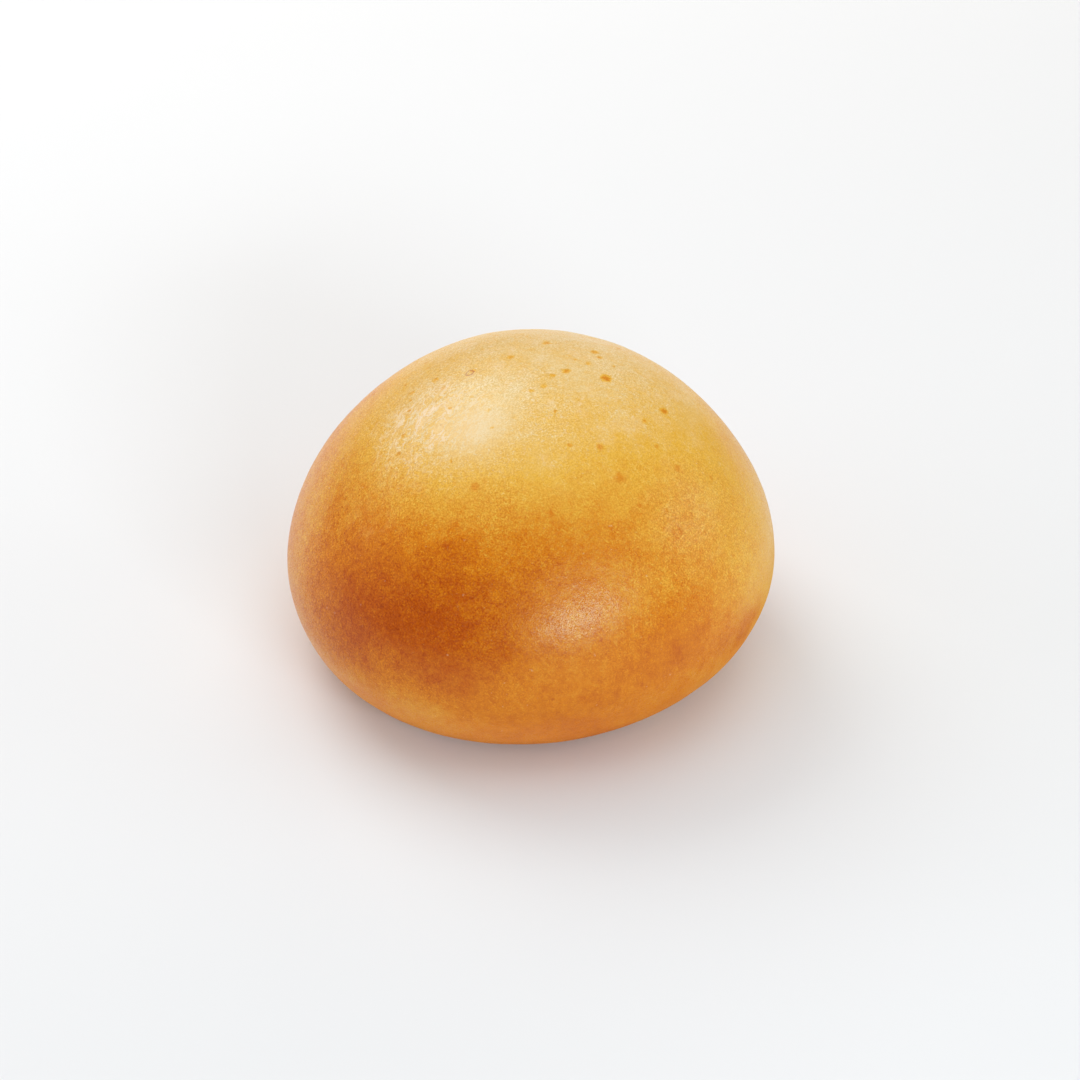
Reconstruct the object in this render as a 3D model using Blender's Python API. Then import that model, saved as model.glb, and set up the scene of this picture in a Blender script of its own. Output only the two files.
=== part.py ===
"""A round potato roll, baked on its own: one piece of soft bread with a smooth, high crown,
sides that bulge out over a narrower flat base, and a plan that isn't quite round.

It rests on its base. The origin is at the centre of its box's bottom face, with +Z up and -Y
towards its front. Sizes are in metres.
"""

import math

import bmesh
import bpy
from mathutils import Vector

NAME = "roll"

# Driving sizes
WAIST_RADIUS = 0.0479  # mean radius of the widest ring
WAIST_HEIGHT = 0.0188  # the widest ring's height above the base
CROWN_RISE = 0.0416  # from the widest ring up to the crown
BELLY_DROP = 0.0293  # from the widest ring down to where the dough would hang if nothing held it
HEEL_BLEND = 0.0040  # height over which the side rolls under into the flat base

# Unevenness
SHOULDER_TAPER = 0.050  # share that the shoulders, halfway up the crown, are slimmer by
CROWN_LEAN = Vector((0.0039, 0.0020, 0.0))  # how far the crown has slumped sideways
PLAN_LOBES = (  # lobes round the plan, swell as a share of the radius, bearing of one in degrees
    (2, 0.010, 136.0),
    (3, 0.017, 0.0),
)

# Mesh density
SIDES = 72
RINGS = 34

CRUST_COLOR = (0.72, 0.34, 0.075, 1.0)
CRUST_ROUGHNESS = 0.42


def clear_scene():
    for obj in list(bpy.data.objects):
        bpy.data.objects.remove(obj, do_unlink=True)


def pressed_flat(height):
    """The height once the tray has pressed the dough flat: 0 below the heel, and eased above it."""
    overlap = max(HEEL_BLEND - abs(height), 0.0) / HEEL_BLEND
    return max(height, 0.0) + overlap * overlap * HEEL_BLEND / 4


def plan_swell(azimuth):
    """How much wider than round the roll is in this direction, as a factor."""
    return 1.0 + sum(
        swell * math.cos(lobes * (azimuth - math.radians(bearing)))
        for lobes, swell, bearing in PLAN_LOBES
    )


def crust_point(azimuth, latitude):
    """The point of the crust at this azimuth and latitude, which is 0 round the widest ring."""
    crown = max(latitude, 0.0)
    reach = CROWN_RISE if latitude > 0 else BELLY_DROP
    height = pressed_flat(WAIST_HEIGHT + reach * math.sin(latitude))
    slim = 1.0 - SHOULDER_TAPER * math.sin(2 * crown) ** 2
    radius = WAIST_RADIUS * math.cos(latitude) * slim * plan_swell(azimuth)
    slump = (height / (WAIST_HEIGHT + CROWN_RISE)) ** 2
    outward = Vector((math.cos(azimuth), math.sin(azimuth), 0.0))
    return outward * radius + CROWN_LEAN * slump + Vector((0.0, 0.0, height))


def crust_rings():
    """The latitudes of the rings, from the edge of the flat base to the last one below the top."""
    heel = math.asin(-(WAIST_HEIGHT + HEEL_BLEND) / BELLY_DROP)
    step = (math.pi / 2 - heel) / RINGS
    return [heel + step * ring for ring in range(RINGS)]


def roll_mesh():
    """The crust as rings of quads, closed by a fan at the crown and one flat face at the base."""
    bm = bmesh.new()
    azimuths = [2 * math.pi * side / SIDES for side in range(SIDES)]
    rings = [[bm.verts.new(crust_point(a, lat)) for a in azimuths] for lat in crust_rings()]
    for lower, upper in zip(rings, rings[1:]):
        for side in range(SIDES):
            after = (side + 1) % SIDES
            bm.faces.new((lower[side], lower[after], upper[after], upper[side]))
    crown = bm.verts.new(crust_point(0.0, math.pi / 2))
    for side in range(SIDES):
        bm.faces.new((rings[-1][side], rings[-1][(side + 1) % SIDES], crown))
    bm.faces.new(reversed(rings[0]))
    stand_on_origin(bm)
    mesh = bpy.data.meshes.new(NAME)
    bm.to_mesh(mesh)
    bm.free()
    mesh.shade_smooth()
    return mesh


def stand_on_origin(bm):
    """Moves the mesh so that the centre of its box's bottom face is the origin."""
    low = Vector(min(vert.co[axis] for vert in bm.verts) for axis in range(3))
    high = Vector(max(vert.co[axis] for vert in bm.verts) for axis in range(3))
    bottom_centre = Vector(((low.x + high.x) / 2, (low.y + high.y) / 2, low.z))
    bmesh.ops.translate(bm, vec=-bottom_centre, verts=bm.verts)


def crust_material():
    material = bpy.data.materials.new("crust")
    material.use_nodes = True
    shader = material.node_tree.nodes["Principled BSDF"]
    shader.inputs["Base Color"].default_value = CRUST_COLOR
    shader.inputs["Roughness"].default_value = CRUST_ROUGHNESS
    shader.inputs["Metallic"].default_value = 0.0
    return material


def main():
    clear_scene()
    roll = bpy.data.objects.new(NAME, roll_mesh())
    roll.data.materials.append(crust_material())
    bpy.context.scene.collection.objects.link(roll)


main()
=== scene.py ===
"""The looks of a round potato roll: a fine crust mesh cast onto the CAD solid, with the gentle
unevenness, wrinkles and freckles of the real skin, and painted highlights, glints, sheen and
bounce light in its colour, on a pale floor under soft studio light.

Everything is in metres in the CAD's frame: the roll stands on z = 0 and its front faces -Y.
"""

import math

import bmesh
import bpy
import numpy as np
from mathutils import Euler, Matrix, Quaternion, Vector, noise
from mathutils.bvhtree import BVHTree


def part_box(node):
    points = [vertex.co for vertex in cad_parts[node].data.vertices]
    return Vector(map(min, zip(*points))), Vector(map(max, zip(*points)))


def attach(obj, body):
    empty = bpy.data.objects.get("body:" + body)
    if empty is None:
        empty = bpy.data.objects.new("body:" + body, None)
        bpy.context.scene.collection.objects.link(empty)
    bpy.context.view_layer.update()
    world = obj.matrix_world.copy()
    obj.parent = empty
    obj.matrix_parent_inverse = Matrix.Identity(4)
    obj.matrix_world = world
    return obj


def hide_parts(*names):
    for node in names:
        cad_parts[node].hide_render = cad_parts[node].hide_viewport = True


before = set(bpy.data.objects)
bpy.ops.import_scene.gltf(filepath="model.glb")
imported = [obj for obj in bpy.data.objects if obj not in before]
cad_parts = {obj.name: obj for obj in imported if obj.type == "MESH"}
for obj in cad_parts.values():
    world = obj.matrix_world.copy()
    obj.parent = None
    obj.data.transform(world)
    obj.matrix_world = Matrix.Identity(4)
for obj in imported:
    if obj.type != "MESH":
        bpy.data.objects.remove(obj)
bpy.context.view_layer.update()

MM = 0.001

# Crust mesh
CELLS = 127  # cells along each edge of the cube that is blown up into the crust
CORE_HEIGHT = 0.4  # share of the roll's height from which the crust is cast outwards
FACET_SMOOTHING = 60  # rounds of smoothing that take out the solid's facets

# Unevenness: how much, how wide its largest lumps are in metres, and its seed
SWELLS = ((0.18 * MM, 30 * MM, 1), (0.05 * MM, 9 * MM, 2), (0.02 * MM, 3 * MM, 3))
UNEVEN_BROWNING = (0.07, 12 * MM, 5)
UNEVEN_WRINKLING = (0.6, 7 * MM, 7)
UNEVEN_DRYNESS = (0.4, 9 * MM, 9)

CREASE_SIZE = 2.6 * MM
CREASE_SEED = 4
CREASE_SHARPNESS = 3.0
CREASE_HEIGHT = 0.07 * MM

# Soft round patches of the skin: x, y, z and radius in mm, and in some a fifth number
WRINKLED_PATCHES = (  # the fifth is how strongly each is wrinkled
    (-19.5, -9.0, 53.7, 7.5, 1.0),
    (30, -23, 42, 7.0, 0.2),
    (-30, -22, 43, 7.0, 0.12),
    (12, 24, 53, 9.0, 0.6),
    (-34, 20, 37, 8.0, 0.5),
)
DENTS = (  # the fifth is how deep each is in mm
    (42.5, -21.5, 17.5, 3.0, 0.35),
    (37.5, -28.0, 15.5, 2.5, 0.25),
    (-20.0, -42.0, 11.0, 4.0, 0.25),
    (-36.0, 28.0, 20.0, 4.0, 0.3),
)
SMOOTH_SHEEN_PATCH = (-10.5, -13.0, 56.3, 4.8)  # smoother skin in front of the strongest wrinkles, where the key light's highlight falls; painted sheen in its colour
CRACKLED_PATCH = (31.0, -23.0, 40.0, 7.5)  # drier skin on the right shoulder, where its pale flecks and lines are partly painted glints of the side light

# Shares by which those two patches change the dryness, and its least and most
SMOOTH_IS_LESS_DRY = 0.6
CRACKLED_IS_DRIER = 0.7
DRYNESS_LIMITS = (0.1, 1.4)

# Changes along the skin, as pairs of a place in mm and the value there
DRYNESS_UP = ((10, 0.25), (30, 1.0))
DRYNESS_ACROSS = ((-34, 1.2), (-20, 1.0), (8, 0.62))
# painted bounce light at the foot: its strength by height, and across from left to right
PAINTED_BOUNCE_UP = ((1, 0.0), (8, 0.6), (16, 0.0))
PAINTED_BOUNCE_ACROSS = ((5, 1.0), (25, 0.4))
FOOT_UP = ((3, 1.0), (13, 0.0))
FOOT_TILT = 0.3  # how much higher the matte foot reaches for each mm to the right

# Browning of the crust, from 0, pale straw, to 1, deep brown; the mottles take it a little further
MOST_BROWNED = 1.1  # before the mottles
BROWNING_UP = (  # height above the base in mm, and the browning there where no patch reaches
    (0, 0.70), (8, 0.71), (15, 0.72), (24, 0.75), (33, 0.73), (40, 0.68), (46, 0.52), (51, 0.28),
    (54, 0.17), (57, 0.12), (60, 0.09),
)
BROWNING_AND_HIGHLIGHT_PATCHES = (  # bearing in degrees, height, width and tallness in mm, and how much they brown; two paler ones are painted highlights
    (241, 33, 22, 10.0, 0.28),
    (283, 47, 24, 6.0, 0.18),
    (320, 53, 20, 5.0, 0.17),
    (240, 57, 8, 3.0, -0.07),
    (351, 29, 20, 12.0, -0.32),
    # painted highlight: paler under the low front highlight
    (288, 36, 13, 6.0, -0.07),
    (262, 52, 10, 3.0, 0.07),
    (70, 56, 12, 5.0, -0.06),
    (315, 45, 7, 4.0, -0.06),
    (330, 27, 8, 5.0, -0.05),
    (155, 52, 9, 3.5, 0.05),
    (248, 14, 14, 5.0, -0.06),
    (228, 20, 8, 5.0, 0.07),
    (200, 42, 8, 6.0, -0.05),
    # painted highlight: paler under the upper-left highlight
    (200, 53, 12, 3.5, -0.08),
    (175, 28, 20, 10.0, -0.10),
    (312, 26, 14, 6.0, 0.15),
    (280, 10, 16, 7.0, 0.16),
    (325, 16, 9, 5.0, 0.10),
    (333, 18, 4, 2.5, 0.14),
    (120, 30, 26, 12.0, 0.12),
    (60, 26, 26, 12.0, 0.10),
)

# Colours, as the eye sees them on the roll
CRUST_COLORS = (  # browning, colour
    (0.0, (226, 196, 140)),
    (0.2, (226, 180, 93)),
    (0.4, (225, 169, 55)),
    (0.6, (219, 150, 42)),
    (0.8, (208, 118, 8)),
    (1.0, (181, 79, 1)),
    (1.2, (158, 62, 0)),
)
FILM_AND_SHEEN = (242, 214, 180)  # the dry skin over the palest crust; also laid on as painted sheen, and on the folds partly as painted glints
SCAR_RIM = (176, 96, 66)
SCAR_RIM_SHARE = 0.8  # how much of this colour shows over the crust's, at most
PAINTED_BOUNCE_COLOR = (255, 152, 52)  # painted bounce light: the foot lightened in colour as if lit from the floor, just above the base
PAINTED_BOUNCE_SHARE = 0.5
GRAIN_AND_GLINT_DARK = (0.87, 0.76, 0.48, 1.0)  # the finest grain multiplies the crust's colour by these; its whiter half is partly painted glints
GRAIN_AND_GLINT_LIGHT = (1.10, 1.18, 1.42, 1.0)
GLOSS_TINT = (0.60, 0.95, 0.76, 1.0)
GLOSS_LEVEL = 0.38

# Noise that shows in patches: size in metres, detail, distortion, and the noise at which a patch
# starts and is full
GRAIN_AND_GLINTS = (0.30 * MM, 1.0, 0.0, 0.3, 0.7)
GLOSSY_SPECKS = (0.27 * MM, 1.0, 0.0, 0.34, 0.50)
SCRATCHES_AND_GLINTS = (0.45 * MM, 0.0, 0.0, 0.75, 0.84)
FOLD_COVER = (3.0 * MM, 2.0, 0.0, 0.40, 0.60)
FINE_FILM = (0.7 * MM, 3.0, 0.5, 0.54, 0.74)
BROAD_FILM = (4.5 * MM, 3.0, 0.5, 0.50, 0.68)

# Noise that shows as thin lines: size in metres, detail, distortion, and the lines' half width, in
# noise, at their foot and at their crest
FOLDS = (1.5 * MM, 4.0, 0.6, 0.07, 0.0)
LIGHT_THREADS = (0.65 * MM, 1.0, 0.4, 0.05, 0.01)
DARK_THREADS = (0.85 * MM, 1.0, 0.4, 0.05, 0.01)
THREAD_PIECES = (1.4, 0.46, 0.56)  # size, as a multiple of the threads', and start and full as above
FOLD_TURN, FOLD_STRETCH = (0, 0, 50), 2.0  # degrees about X, Y and Z, and how drawn out they are
SCRATCH_TURN, SCRATCH_STRETCH = (0, 40, -20), 5.0

# How much the fine texture changes the browning
MOTTLES = ((3.5 * MM, 0.22), (1.3 * MM, 0.18))  # size in metres, change
STIPPLE_SIZE = 0.38 * MM
STIPPLE_MIDDLE = 0.48  # the noise at which stipple changes nothing
STIPPLE_BROWNS = 0.21
HOLLOWS_BROWN = 0.36
HOLLOW_MIDDLE = 0.55  # the fold at which wrinkled skin changes nothing
# pale specks, scratches and threads: partly marks on the skin, partly painted glints of the lights
LIGHT_LINES_BROWN = -0.23
LIGHT_LINES_FADE = (0.95, 0.65, 0.35)  # browning where weakest and where full, and the weakest share
LIGHT_LINES_NEED_DRYNESS = 0.6  # the power of the dryness that weakens them
DARK_LINES_BROWN = 0.11
MARKS_BROWN = 0.15
MARKS_AT_LEAST = 0.70  # the browning that a mark has at least
SCATTERED_SHARE = 0.8  # how far a scattered freckle goes towards the browning of a mark
RING_SHARE = 0.8

# How much of the film's colour shows over the crust
PALE_FROM, PALEST_AT = 0.58, 0.10  # the browning below which crust counts as pale, and as palest
FILM_FINE = 0.45
FILM_BROAD = 0.14
# painted sheen: the film's pale colour laid over the smooth patch under the key light's highlight
PAINTED_SHEEN_SHARE = 0.35
# film on the wrinkled patches: partly dry skin, partly painted glints and highlight under the key and
# side lights
FILM_BESIDE_FOLDS, FILM_ADDED_BY_FOLDS = 0.3, 0.6
FOLD_FILM_ON_DARK = 0.35  # of what the folds have on pale crust
FOLD_COVER_LEAST = 0.25  # of what they have where FOLD_COVER is full
FLECKS_ON_DARK, FLECKS_ON_PALE = 0.24, 0.60

# Gloss and fine relief
GLOSSY, DULL = 0.28, 0.60  # roughness
FOLDS_DULLER = 0.25
FOOT_DULLER = 0.45
GRAIN_BUMP = (0.28 * MM, 1.0, 0.03 * MM)  # size, detail, height
PEEL_BUMP = (1.3 * MM, 2.0, 0.06 * MM)
FOLD_BUMP = 0.03 * MM
MARK_BUMP = 0.07 * MM

# Marks scattered by chance, one at most to a cell: cell size in metres, share of cells with a mark,
# and how far out, in cells, a mark is full and is gone
FLECKS = (2.4 * MM, 0.5, 0.0, 0.13)
SMALL_FRECKLES = (4.0 * MM, 0.6, 0.04, 0.22)
# pale specks, partly painted glints
SPECKS = (0.9 * MM, 0.4, 0.0, 0.24)
SMALLEST_MARK = 0.5  # of the size of the largest

# Marks at known places: x, y, z and radius in mm
FRECKLES = (
    (14.3, -0.3, 59.0, 1.6), (6.8, 0.5, 60.1, 1.2), (25.1, -4.6, 54.4, 1.4), (12.9, -17.7, 55.2, 1.2),
    (-9.9, -24.9, 51.3, 1.35), (27.4, -15.9, 49.2, 1.2), (16.5, -22.3, 51.5, 1.6),
    (-14.9, -32.5, 43.8, 1.3), (3.9, -29.9, 49.0, 1.1), (11.0, 4.0, 59.6, 0.9), (3.2, 11.7, 59.3, 1.1),
    (-3.6, 6.0, 59.8, 1.0), (2.5, -4.4, 59.8, 0.9), (12.2, 9.2, 58.8, 1.1), (-18.0, 3.7, 56.0, 1.0),
)
BLISTERS = (
    (-22.4, 2.7, 53.8, 0.9), (-16.3, -0.2, 56.8, 0.9), (7.4, -18.3, 56.0, 0.8), (34.0, 6.0, 48.5, 0.8),
    (-8.0, 22.0, 55.0, 0.9), (-38.0, 14.0, 38.0, 1.0),
)
SCAR = ((-11.3, 2.4, 58.4, 1.3),)
WOBBLE = 1.1 * MM  # how far the outlines of the marks waver
WOBBLE_SIZE = 0.9 * MM
SOLID_SHARE = 0.2  # share of a mark's radius out to which it is at its full strength
FULL_MARK = 1.4  # a mark of this radius in mm or more is at its full strength
RIM_SLOPE = (0.05, 0.95)  # the strengths of a mark between which its rim lies

CAMERA_ELEVATION = 36.0  # degrees above the horizontal
CAMERA_DISTANCE = 0.5
CAMERA_AIM = Vector((0.0019, -0.0003, 0.0215))
CAMERA_LENS = 85.0  # mm
CAMERA_SENSOR = 36.0  # mm wide

ROLL_MIDDLE = Vector((0.0, 0.0, 0.03))
LIGHT_DISTANCE = 0.9
SKY_STRENGTH = 0.42
SOFTBOXES = (  # name, bearing and elevation in degrees, size in metres, power in watts, and more
    ("key", 128, 43, (0.62, 0.45), 3.1, {}),
    ("fill", -65, 20, (0.46, 0.11), 3.7, {"turn": 5, "color": (0.91, 1.05, 1.18)}),
    ("side", 2, 21, (0.5, 0.4), 1.0, {}),
    ("top", 90, 80, (1.0, 1.0), 3.0, {}),
    ("back", 78, 8, (0.6, 0.4), 2.3, {"color": (1.03, 1.0, 0.98), "gloss": False}),
    ("left", 180, 14, (0.8, 0.5), 1.9, {"color": (0.98, 1.0, 1.10), "gloss": False}),
)

FLOOR_RADIUS = 2.5
FLOOR_SIDES = 96
FLOOR_COLOR = (0.78, 0.775, 0.765, 1.0)
FLOOR_ROUGHNESS = 0.7


# ---------------------------------------------------------------------------------- crust mesh

def blown_up_cube(cells):
    """A mesh of near-even quads on the unit sphere: a gridded cube, blown up."""
    bm = bmesh.new()
    bmesh.ops.create_cube(bm, size=2.0)
    bmesh.ops.subdivide_edges(bm, edges=bm.edges, cuts=cells - 1, use_grid_fill=True)
    for vert in bm.verts:
        even = Vector(math.tan(c * math.pi / 4) for c in vert.co)
        vert.co = even.normalized()
    mesh = bpy.data.meshes.new("crust")
    bm.to_mesh(mesh)
    bm.free()
    return mesh


def positions(mesh):
    """The place of every vertex, one row each."""
    points = np.empty(len(mesh.vertices) * 3)
    mesh.vertices.foreach_get("co", points)
    return points.reshape(-1, 3)


def set_positions(mesh, points):
    mesh.vertices.foreach_set("co", points.astype(np.float32).ravel())
    mesh.update()


def cast_onto(node_name, directions):
    """Where rays from inside the CAD node, in these directions, leave it."""
    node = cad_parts[node_name]
    low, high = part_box(node_name)
    core = (low + high) / 2
    core.z = low.z + CORE_HEIGHT * (high.z - low.z)
    tree = BVHTree.FromObject(node, bpy.context.evaluated_depsgraph_get())
    return np.array([tree.ray_cast(core, Vector(d))[0] for d in directions])


def neighbours_of(mesh):
    """Both ends of every edge, for averaging over neighbours."""
    ends = np.empty(len(mesh.edges) * 2, np.int32)
    mesh.edges.foreach_get("vertices", ends)
    ends = ends.reshape(-1, 2)
    return ends[:, 0], ends[:, 1]


def smoothed(values, edges, rounds):
    """The per-vertex values after this many rounds of moving halfway to the neighbours' mean."""
    first, second = edges
    count = np.bincount(first, minlength=len(values)) + np.bincount(second, minlength=len(values))
    for _ in range(rounds):
        total = np.zeros_like(values)
        for column in range(values.shape[1]):
            total[:, column] = np.bincount(first, values[second, column], len(values))
            total[:, column] += np.bincount(second, values[first, column], len(values))
        values = (values + total / count[:, None]) / 2
    return values


def normals_of(mesh):
    normals = np.empty(len(mesh.vertices) * 3)
    mesh.vertices.foreach_get("normal", normals)
    return normals.reshape(-1, 3)


def fractal(points, size, octaves, seed):
    """Smooth seeded noise of about -1 to 1 whose largest lumps are this wide, in metres."""
    offset = Vector((11.7 * seed, -7.3 * seed, 3.1 * seed))
    return np.array([
        noise.fractal(Vector(p) / size + offset, 1.0, 2.0, octaves) for p in points
    ])


def uneven(points, amount, size, seed, octaves=2):
    """Smooth seeded unevenness of about this amount, up and down."""
    return amount * fractal(points, size, octaves, seed)


def keep_attribute(mesh, name, values):
    """Keeps one value per vertex for the material to read."""
    attribute = mesh.attributes.new(name, "FLOAT", "POINT")
    attribute.data.foreach_set("value", values.astype(np.float32))


def crust_piece():
    """The crust: the CAD solid's form without its facets, with relief and the skin's measures."""
    mesh = blown_up_cube(CELLS)
    points = cast_onto("roll", positions(mesh))
    points = smoothed(points, neighbours_of(mesh), FACET_SMOOTHING)
    set_positions(mesh, points)
    points = points + normals_of(mesh) * relief(points)[:, None]
    points[:, 2] = np.maximum(points[:, 2], 0.0)
    set_positions(mesh, points)
    mesh.shade_smooth()
    for measure in (browning_and_painted_highlights, wrinkling, dryness, smoothness, painted_bounce_light, foot):
        keep_attribute(mesh, measure.__name__, measure(points))
    piece = bpy.data.objects.new("roll_crust", mesh)
    bpy.context.scene.collection.objects.link(piece)
    return piece


def along(places, pairs):
    """The value at each place in mm between these pairs of a place and a value."""
    return np.interp(places, *zip(*pairs))


def within(points, x, y, z, radius):
    """How far inside a soft round patch each point is: 1 in its middle, 0 well outside."""
    away = np.linalg.norm(points / MM - (x, y, z), axis=1)
    return np.exp(-((away / radius) ** 2) / 2)


def creases(points):
    """Thin ridges between soft hollows, 0 to 1, as noise folded at its middle."""
    off_middle = np.abs(fractal(points, CREASE_SIZE, 2, CREASE_SEED))
    return 1.0 - np.minimum(off_middle * CREASE_SHARPNESS, 1.0)


def relief(points):
    """How far each point stands out of the smooth form, in metres."""
    swell = sum(uneven(points, *waves) for waves in SWELLS)
    swell += CREASE_HEIGHT * creases(points) * wrinkling(points)
    for *place, depth in DENTS:
        swell -= depth * MM * within(points, *place)
    return swell


def browning_and_painted_highlights(points):
    """How deeply the crust is browned at each point, from 0 to MOST_BROWNED; two paler patches in it
    are painted highlights.
    """
    height = points[:, 2] / MM
    browned = along(height, BROWNING_UP)
    bearing = np.arctan2(points[:, 1], points[:, 0])
    girth = np.hypot(points[:, 0], points[:, 1]).max() / MM
    for centre, level, width, tallness, amount in BROWNING_AND_HIGHLIGHT_PATCHES:
        turn = np.angle(np.exp(1j * (bearing - math.radians(centre))))
        reach = (turn * girth / width) ** 2 + ((height - level) / tallness) ** 2
        browned += amount * np.exp(-reach / 2)
    browned += uneven(points, *UNEVEN_BROWNING, octaves=3)
    return np.clip(browned, 0.0, MOST_BROWNED)


def wrinkling(points):
    """How wrinkled the skin is at each point, from 0 to 1."""
    amount = np.zeros(len(points))
    for *place, strength in WRINKLED_PATCHES:
        amount = np.maximum(amount, strength * within(points, *place))
    return np.clip(amount * (1.0 + uneven(points, *UNEVEN_WRINKLING)), 0.0, 1.0)


def smoothness(points):
    """How smooth the skin is, from 0 to 1: less grainy, and with painted sheen in its colour."""
    return within(points, *SMOOTH_SHEEN_PATCH)


def dryness(points):
    """How dry, and so how grainy and flecked, the skin is: most on the left, least at the foot."""
    x, _, z = points.T / MM
    dry = along(z, DRYNESS_UP) * along(x, DRYNESS_ACROSS)
    crackled = within(points, *CRACKLED_PATCH)
    dry *= 1.0 - SMOOTH_IS_LESS_DRY * smoothness(points) + CRACKLED_IS_DRIER * crackled
    return np.clip(dry * (1.0 + uneven(points, *UNEVEN_DRYNESS)), *DRYNESS_LIMITS)


def painted_bounce_light(points):
    """Painted bounce light: how much the foot is lightened, in a band just above the base, weaker on
    the right.
    """
    x, _, z = points.T / MM
    return along(z, PAINTED_BOUNCE_UP) * along(x, PAINTED_BOUNCE_ACROSS)


def foot(points):
    """How matte the skin is near the base, from 0 to 1; it reaches higher on the right."""
    x, _, z = points.T / MM
    return along(z - FOOT_TILT * np.maximum(x, 0.0), FOOT_UP)


# ------------------------------------------------------------------------------------ material

def linear(red, green, blue):
    """The colour with these sRGB values, 0 to 255, as the linear RGBA that sockets take."""
    shares = [channel / 255 for channel in (red, green, blue)]
    return tuple(
        s / 12.92 if s <= 0.04045 else ((s + 0.055) / 1.055) ** 2.4 for s in shares
    ) + (1.0,)


class NodeMaker:
    """Adds nodes to a material's tree. An input is given as a value or as another node's output."""

    def __init__(self, material):
        material.use_nodes = True
        self.tree = material.node_tree
        self.shader = self.tree.nodes["Principled BSDF"]
        self.place = self.add("ShaderNodeTexCoord").outputs["Object"]

    def feed(self, socket, value):
        """Gives the socket this value, or links it to this output."""
        if isinstance(value, bpy.types.NodeSocket):
            self.tree.links.new(value, socket)
        else:
            socket.default_value = value

    def add(self, kind, inputs=None, **settings):
        """A new node of this kind with these inputs, by name or number, and these settings."""
        node = self.tree.nodes.new(kind)
        for name, value in settings.items():
            setattr(node, name, value)
        for name, value in (inputs or {}).items():
            self.feed(node.inputs[name], value)
        return node

    def maths(self, operation, *values):
        """This operation on these values, such as MULTIPLY_ADD for a * b + c."""
        node = self.add("ShaderNodeMath", operation=operation)
        for socket, value in zip(node.inputs, values):
            self.feed(socket, value)
        return node.outputs[0]

    def attribute(self, name):
        """The value that the crust keeps at each vertex under this name."""
        return self.add("ShaderNodeAttribute", attribute_name=name).outputs["Fac"]

    def stretched(self, turns, factor):
        """The place, turned by these angles in degrees, for noise that is drawn out along X."""
        return self.add("ShaderNodeMapping", {
            "Vector": self.place, "Rotation": [math.radians(turn) for turn in turns],
            "Scale": (factor, 1.0, 1.0),
        }, vector_type="TEXTURE").outputs[0]

    def noise(self, size, detail=2.0, distortion=0.0, place=None):
        """Noise from 0 to 1 whose lumps are about this wide, in metres."""
        node = self.add("ShaderNodeTexNoise", {
            "Vector": place or self.place, "Scale": 1.0 / size, "Detail": detail,
            "Distortion": distortion,
        })
        return node.outputs[0]

    def spread(self, value, low, high, to_low=0.0, to_high=1.0):
        """The value moved smoothly from the range low..high to the range to_low..to_high."""
        node = self.add("ShaderNodeMapRange", {
            "Value": value, "From Min": low, "From Max": high, "To Min": to_low, "To Max": to_high,
        }, interpolation_type="SMOOTHSTEP")
        return node.outputs[0]

    def patches(self, size, detail, distortion, start, full, least=0.0, most=1.0, place=None):
        """Noise that rises smoothly from least, where a patch starts, to most, where it is full."""
        field = self.noise(size, detail, distortion, place)
        return self.spread(field, start, full, least, most)

    def lines(self, size, detail, distortion, foot, crest, place=None):
        """Lines where noise crosses its middle, from 0 at their foot to 1 on their crest."""
        field = self.noise(size, detail, distortion, place)
        off_middle = self.maths("ABSOLUTE", self.maths("SUBTRACT", field, 0.5))
        return self.spread(off_middle, foot, crest)

    def mixed(self, share, first, second, blend="MIX"):
        """This share of the second colour over the first."""
        node = self.add("ShaderNodeMix", data_type="RGBA", blend_type=blend)
        self.feed(node.inputs[0], share)
        self.feed(node.inputs[6], first)
        self.feed(node.inputs[7], second)
        return node.outputs[2]


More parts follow.
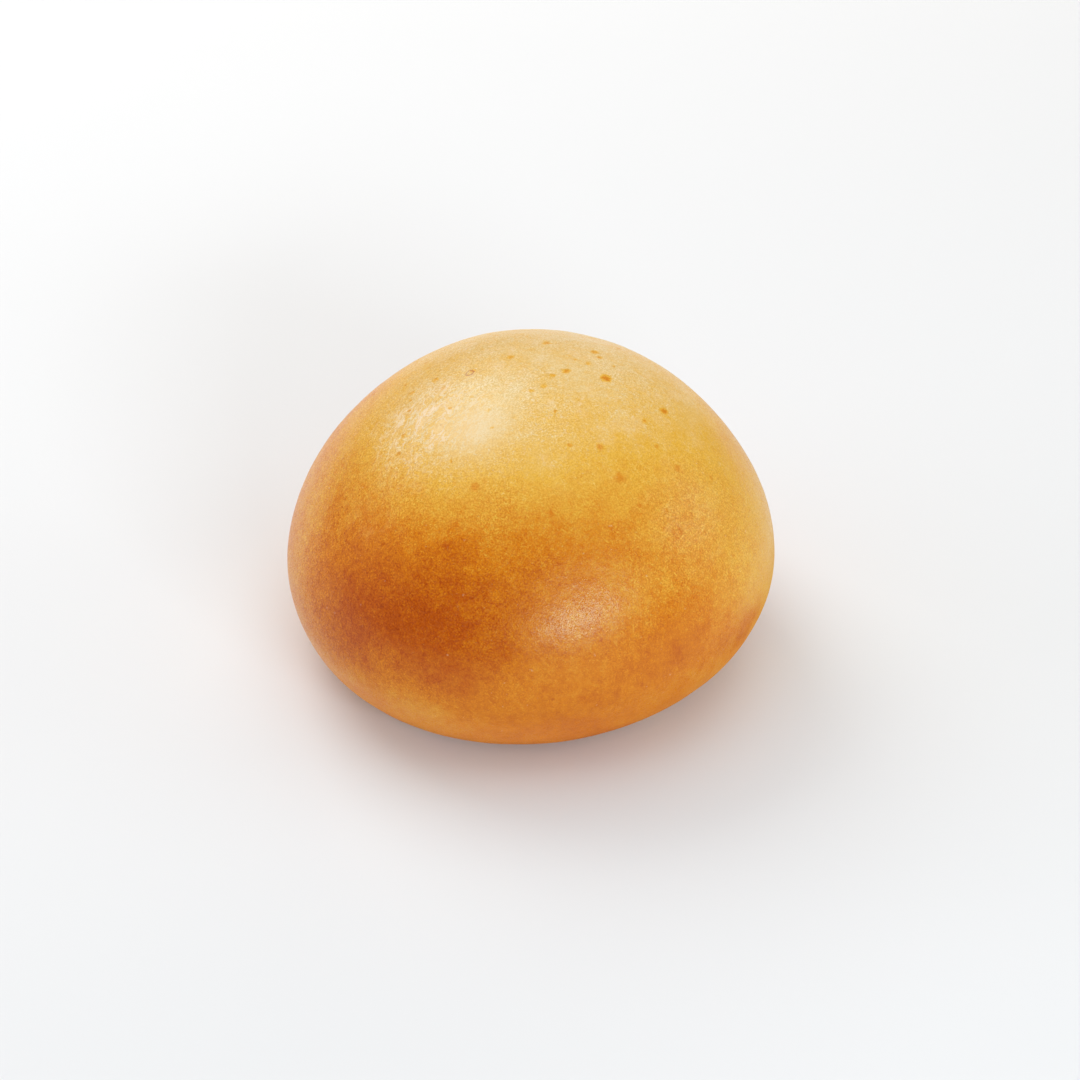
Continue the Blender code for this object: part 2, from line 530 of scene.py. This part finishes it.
class Skin:
    """What the crust's colour, roughness and relief share: how dry and how wrinkled it is, and
    masks from 0 to 1 of its folds, its fine lines and its small marks."""

    def __init__(self, make):
        self.dry = make.attribute("dryness")
        self.wrinkled = make.attribute("wrinkling")
        self.along_folds = make.stretched(FOLD_TURN, FOLD_STRETCH)
        self.folds = make.lines(*FOLDS, place=self.along_folds)
        along_scratches = make.stretched(SCRATCH_TURN, SCRATCH_STRETCH)
        self.scratches_and_glints = make.patches(*SCRATCHES_AND_GLINTS, place=along_scratches)
        self.light_threads = self.threads(make, LIGHT_THREADS)
        self.dark_threads = self.threads(make, DARK_THREADS)

        wobble = make.add("ShaderNodeTexNoise", {"Vector": make.place, "Scale": 1 / WOBBLE_SIZE})
        bent = make.add("ShaderNodeVectorMath", {
            0: wobble.outputs["Color"], 1: (WOBBLE, WOBBLE, WOBBLE), 2: make.place,
        }, operation="MULTIPLY_ADD").outputs[0]
        self.flecks = self.scattered(make, bent, *FLECKS)
        self.freckles = self.scattered(make, bent, *SMALL_FRECKLES)
        self.specks = self.scattered(make, bent, *SPECKS)
        self.named = self.placed(make, bent, FRECKLES)
        self.blisters = self.placed(make, bent, BLISTERS)
        self.scar = self.placed(make, bent, SCAR)

    def threads(self, make, curls):
        """Thin curly lines, broken into short lengths."""
        longer, start, full = THREAD_PIECES
        pieces = make.patches(longer * curls[0], 1.0, 0.0, start, full)
        return make.maths("MULTIPLY", make.lines(*curls), pieces)

    def scattered(self, make, place, spacing, share, solid, reach):
        """One round mark in this share of cells: full out to solid, gone at reach, in cells."""
        cells = make.add("ShaderNodeTexVoronoi", {"Vector": place, "Scale": 1.0 / spacing})
        chance = make.add("ShaderNodeSeparateColor", {"Color": cells.outputs["Color"]})
        present = make.maths("LESS_THAN", chance.outputs[0], share)
        size = make.spread(chance.outputs[1], 0.0, 1.0, SMALLEST_MARK)
        near = make.maths("DIVIDE", cells.outputs["Distance"], size)
        return make.maths("MULTIPLY", make.spread(near, reach, solid), present)

    def placed(self, make, place, marks):
        """Marks at these places, given as x, y, z and radius in mm; the smallest are fainter."""
        total = 0.0
        for x, y, z, radius in marks:
            centre = [coordinate * MM + WOBBLE / 2 for coordinate in (x, y, z)]
            away = make.add("ShaderNodeVectorMath", {0: place, 1: centre}, operation="DISTANCE")
            strength = min(1.0, radius / FULL_MARK)
            inner, outer = SOLID_SHARE * radius * MM, radius * MM
            mark = make.spread(away.outputs["Value"], outer, inner, 0.0, strength)
            total = make.maths("MAXIMUM", mark, total)
        return total


def crust_material():
    """Baked crust: browned by the kept measures, with a dry film, fine grain and small marks, and with
    painted highlights, glints, sheen and bounce light in its colour.
    """
    material = bpy.data.materials.new("crust")
    make = NodeMaker(material)
    skin = Skin(make)
    shader = make.shader
    make.feed(shader.inputs["Base Color"], crust_color(make, skin))
    make.feed(shader.inputs["Roughness"], crust_roughness(make, skin))
    make.feed(shader.inputs["Normal"], crust_bump(make, skin))
    shader.inputs["Specular IOR Level"].default_value = GLOSS_LEVEL
    shader.inputs["Specular Tint"].default_value = GLOSS_TINT
    return material


def rim_of(make, mark):
    """A ring along the middle of a soft mark's slope."""
    return make.maths("PINGPONG", make.spread(mark, *RIM_SLOPE, 0.0, 2.0), 1.0)


def crust_color(make, skin):
    """The browned crust with its grain and painted glints, under the pale film and painted sheen, the
    scar's rim and the painted bounce light at the foot.
    """
    # the kept browning, with two paler patches of painted highlight
    baked_and_highlights = make.attribute("browning_and_painted_highlights")
    pale = make.spread(baked_and_highlights, PALE_FROM, PALEST_AT)
    color = browned_color(make, varied_browning(make, skin, baked_and_highlights))
    # fine grain, partly the crust's own and partly painted glints: the lighter specks are whiter
    grain = make.mixed(make.patches(*GRAIN_AND_GLINTS), GRAIN_AND_GLINT_DARK, GRAIN_AND_GLINT_LIGHT)
    color = make.mixed(skin.dry, color, grain, "MULTIPLY")
    color = make.mixed(film_and_sheen_over(make, skin, pale), color, linear(*FILM_AND_SHEEN))
    scarred = make.maths("MULTIPLY", rim_of(make, skin.scar), SCAR_RIM_SHARE)
    color = make.mixed(scarred, color, linear(*SCAR_RIM))
    # painted bounce light: the foot lightened as if lit from the floor
    bounce_shows = make.maths("MULTIPLY", make.attribute("painted_bounce_light"), PAINTED_BOUNCE_SHARE)
    return make.mixed(bounce_shows, color, linear(*PAINTED_BOUNCE_COLOR))


def varied_browning(make, skin, baked_and_highlights):
    """The browning with its small unevenness: mottles, stipple, folds, fine lines and marks; its pale
    specks, scratches and threads are partly painted glints.
    """
    browned = baked_and_highlights
    for size, amount in MOTTLES:
        waver = make.maths("SUBTRACT", make.noise(size), 0.5)
        browned = make.maths("MULTIPLY_ADD", waver, amount, browned)
    stipple = make.maths("SUBTRACT", make.noise(STIPPLE_SIZE, 1.0), STIPPLE_MIDDLE)
    stipple = make.maths("MULTIPLY", stipple, skin.dry)
    browned = make.maths("MULTIPLY_ADD", stipple, STIPPLE_BROWNS, browned)
    hollows = make.maths("SUBTRACT", HOLLOW_MIDDLE, skin.folds)
    hollows = make.maths("MULTIPLY", skin.wrinkled, hollows)
    browned = make.maths("MULTIPLY_ADD", hollows, HOLLOWS_BROWN, browned)

    # pale specks, scratches and threads, partly painted glints
    light = make.maths("MAXIMUM", skin.specks, skin.scratches_and_glints)
    light = make.maths("MAXIMUM", light, skin.light_threads)
    light = make.maths("MULTIPLY", light, make.spread(baked_and_highlights, *LIGHT_LINES_FADE))
    light = make.maths("MULTIPLY", light, make.maths("POWER", skin.dry, LIGHT_LINES_NEED_DRYNESS))
    browned = make.maths("MULTIPLY_ADD", light, LIGHT_LINES_BROWN, browned)
    dark = make.maths("MULTIPLY", skin.dark_threads, skin.dry)
    browned = make.maths("MULTIPLY_ADD", dark, DARK_LINES_BROWN, browned)

    marked = make.maths("MAXIMUM", make.maths("ADD", browned, MARKS_BROWN), MARKS_AT_LEAST)
    rings = rim_of(make, skin.blisters)
    for mask, strength in ((skin.freckles, SCATTERED_SHARE), (skin.named, 1.0), (rings, RING_SHARE)):
        step = make.maths("MULTIPLY", make.maths("SUBTRACT", marked, browned), mask)
        browned = make.maths("MULTIPLY_ADD", step, strength, browned)
    return browned


def browned_color(make, browned):
    """The colour of crust browned this much."""
    deepest = CRUST_COLORS[-1][0]
    ramp = make.add("ShaderNodeValToRGB", {"Fac": make.maths("DIVIDE", browned, deepest)})
    stops = ramp.color_ramp.elements
    while len(stops) < len(CRUST_COLORS):
        stops.new(1.0)
    for (share, color), stop in zip(CRUST_COLORS, stops):
        stop.position, stop.color = share / deepest, linear(*color)
    return ramp.outputs["Color"]


def film_and_sheen_over(make, skin, pale):
    """How much pale film shows over the crust: on folds, in mottles, in flecks, and as painted sheen
    on the smooth patch; on the folds it is partly painted glints of the lights.
    """
    patchy = make.patches(*FOLD_COVER, least=FOLD_COVER_LEAST, place=skin.along_folds)
    # film on the folds: partly dry skin, partly painted glints on their crests
    folded = make.maths("MULTIPLY_ADD", skin.folds, FILM_ADDED_BY_FOLDS, FILM_BESIDE_FOLDS)
    folded = make.maths("MULTIPLY", folded, make.maths("MULTIPLY", skin.wrinkled, patchy))
    shown = make.maths("MULTIPLY_ADD", pale, 1.0 - FOLD_FILM_ON_DARK, FOLD_FILM_ON_DARK)
    folded = make.maths("MULTIPLY", folded, shown)
    fine = make.patches(*FINE_FILM, most=FILM_FINE)
    broad = make.patches(*BROAD_FILM, most=FILM_BROAD)
    mottle = make.maths("ADD", make.maths("MULTIPLY", fine, skin.dry), broad)
    mottle = make.maths("MULTIPLY", mottle, pale)
    shown = make.maths("MULTIPLY_ADD", pale, FLECKS_ON_PALE - FLECKS_ON_DARK, FLECKS_ON_DARK)
    flecked = make.maths("MULTIPLY", skin.flecks, shown)
    # painted sheen on the smooth patch
    painted_sheen = make.maths("MULTIPLY", make.attribute("smoothness"), PAINTED_SHEEN_SHARE)
    # the pale film, with painted sheen and glints in it
    film = folded
    for layer in (mottle, flecked, painted_sheen):
        film = make.maths("MAXIMUM", film, layer)
    unmarked = make.maths("SUBTRACT", 1.0, make.maths("MAXIMUM", skin.named, skin.freckles))
    return make.maths("MULTIPLY", film, unmarked)


def crust_roughness(make, skin):
    """A fine mix of glossy and dull specks, duller on the folds and towards the base."""
    rough = make.patches(*GLOSSY_SPECKS, DULL, GLOSSY)
    folded = make.maths("MULTIPLY", skin.folds, skin.wrinkled)
    rough = make.maths("MULTIPLY_ADD", folded, FOLDS_DULLER, rough)
    return make.maths("MULTIPLY_ADD", make.attribute("foot"), FOOT_DULLER, rough)


def crust_bump(make, skin):
    """Grain, orange-peel, wrinkles and small marks, as one chain of bumps."""
    raised = make.maths("ADD", skin.flecks, make.maths("ADD", skin.blisters, skin.specks))
    layers = [(make.noise(size, detail), height) for size, detail, height in (GRAIN_BUMP, PEEL_BUMP)]
    layers.append((make.maths("MULTIPLY", skin.folds, skin.wrinkled), FOLD_BUMP))
    layers.append((raised, MARK_BUMP))
    normal = None
    for height, distance in layers:
        bump = make.add("ShaderNodeBump", {"Height": height, "Distance": distance})
        if normal:
            make.feed(bump.inputs["Normal"], normal)
        normal = bump.outputs["Normal"]
    return normal


# --------------------------------------------------------------------- floor, light and camera

def floor():
    """A pale round floor under the roll."""
    bm = bmesh.new()
    bmesh.ops.create_circle(bm, cap_ends=True, segments=FLOOR_SIDES, radius=FLOOR_RADIUS)
    mesh = bpy.data.meshes.new("floor")
    bm.to_mesh(mesh)
    bm.free()
    piece = bpy.data.objects.new("floor", mesh)
    bpy.context.scene.collection.objects.link(piece)
    material = bpy.data.materials.new("floor")
    material.use_nodes = True
    shader = material.node_tree.nodes["Principled BSDF"]
    shader.inputs["Base Color"].default_value = FLOOR_COLOR
    shader.inputs["Roughness"].default_value = FLOOR_ROUGHNESS
    mesh.materials.append(material)
    return piece


def softbox(name, bearing, elevation, size, power, turn=0, color=(1.0, 1.0, 1.0), gloss=True):
    """A rectangular softbox seen from the roll at these angles in degrees, facing it and turned
    in its own plane. Without gloss it lights the crust but shows no reflection in it."""
    light = bpy.data.lights.new(name, "AREA")
    light.shape = "RECTANGLE"
    light.size, light.size_y = size
    light.energy = power
    light.color = color
    box = bpy.data.objects.new(name, light)
    box.visible_glossy = gloss
    bpy.context.scene.collection.objects.link(box)
    across = Euler((0.0, 0.0, math.radians(bearing)))
    toward = Vector((math.cos(math.radians(elevation)), 0.0, math.sin(math.radians(elevation))))
    toward.rotate(across)
    box.location = ROLL_MIDDLE + toward * LIGHT_DISTANCE
    facing = toward.to_track_quat("Z", "Y") @ Quaternion((0.0, 0.0, 1.0), math.radians(turn))
    box.rotation_euler = facing.to_euler()


def studio():
    """Soft light all round, a key from the upper left behind, and a low wide front light."""
    world = bpy.data.worlds.new("studio")
    bpy.context.scene.world = world
    world.use_nodes = True
    sky = world.node_tree.nodes["Background"]
    sky.inputs["Color"].default_value = (1.0, 1.0, 1.0, 1.0)
    sky.inputs["Strength"].default_value = SKY_STRENGTH
    world.cycles_visibility.glossy = False
    for name, bearing, elevation, size, power, more in SOFTBOXES:
        softbox(name, bearing, elevation, size, power, **more)


def camera():
    """Looks at the roll's front from above, at the height given by CAMERA_ELEVATION."""
    data = bpy.data.cameras.new("camera")
    data.lens = CAMERA_LENS
    data.sensor_width = CAMERA_SENSOR
    view = bpy.data.objects.new("camera", data)
    bpy.context.scene.collection.objects.link(view)
    elevation = math.radians(CAMERA_ELEVATION)
    back = Vector((0.0, -math.cos(elevation), math.sin(elevation)))
    view.location = CAMERA_AIM + back * CAMERA_DISTANCE
    view.rotation_euler = back.to_track_quat("Z", "Y").to_euler()
    bpy.context.scene.camera = view


# --------------------------------------------------------------------------------------- scene

crust = crust_piece()
crust.data.materials.append(crust_material())
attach(crust, "root")
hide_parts("roll")
floor()
studio()
camera()
bpy.context.scene.view_settings.view_transform = "Standard"
